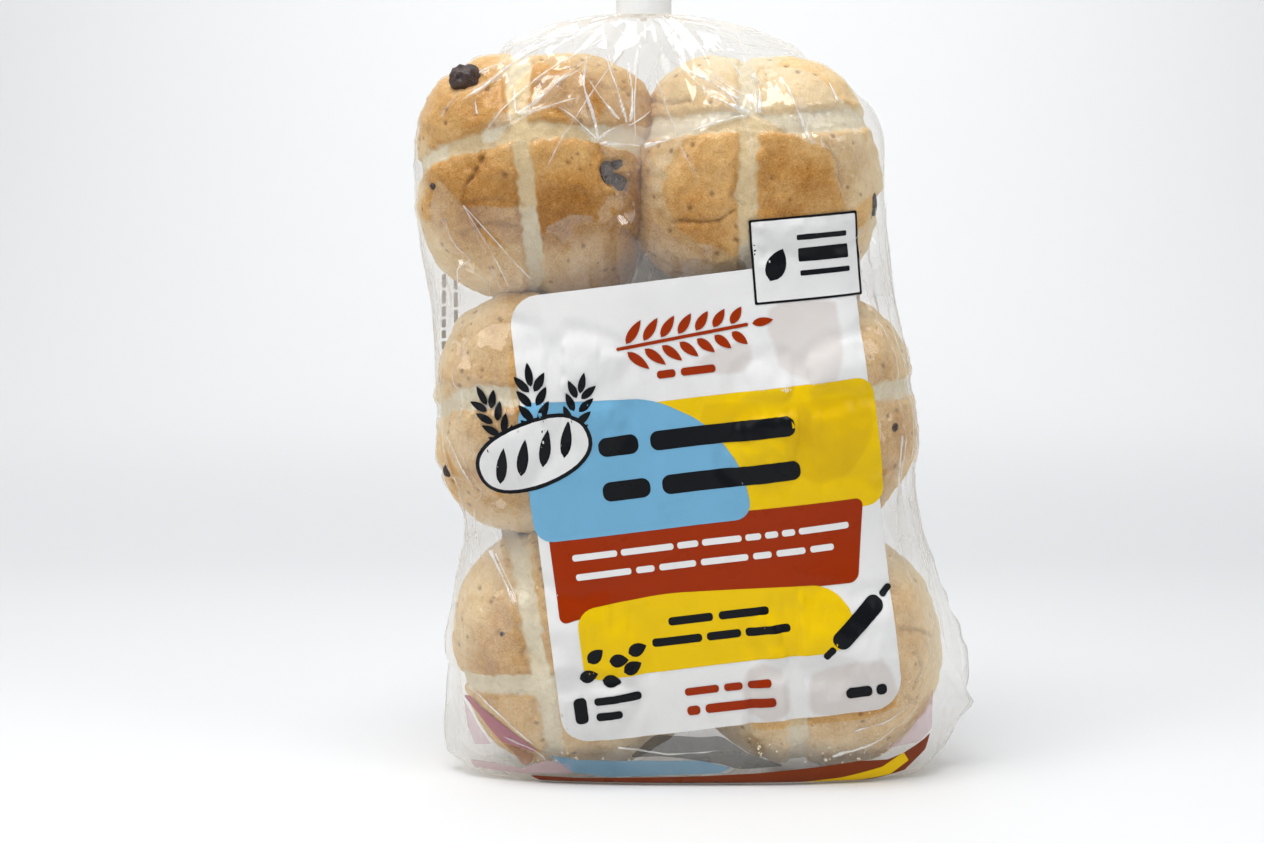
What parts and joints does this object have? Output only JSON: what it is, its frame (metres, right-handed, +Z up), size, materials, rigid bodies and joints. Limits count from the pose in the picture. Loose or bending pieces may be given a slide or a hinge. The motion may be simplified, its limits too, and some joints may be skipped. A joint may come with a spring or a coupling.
{
  "type": "bag of hot cross buns",
  "caption": "Clear printed film bag of hot cross buns, filled in rows of two, standing on its base, with its neck gathered and taped.",
  "frame": {"origin": "centre of the bag's outline, on the surface that it stands on", "axes": "+X to the right of the printed front, -Y out of the printed front, +Z up to the gathered neck"},
  "size_m": [0.215, 0.0632, 0.3425],
  "materials": {
    "film": "clear glossy film over golden buns",
    "tape": "matt white tape",
    "crust": "baked golden crust with pale flour-paste cross",
    "raisin": "dark wrinkled fruit",
    "print_white": "white ink on film",
    "print_blue": "light blue ink on film",
    "print_yellow": "yellow ink on film",
    "print_rust": "rust-red ink on film",
    "print_black": "black ink on film",
    "print_grey": "grey ink on film",
    "print_pink": "thin pink ink on folded film"
  },
  "bodies": {
    "root": {"bag": "film", "neck_tape": "tape"}
  },
  "joints": []
}
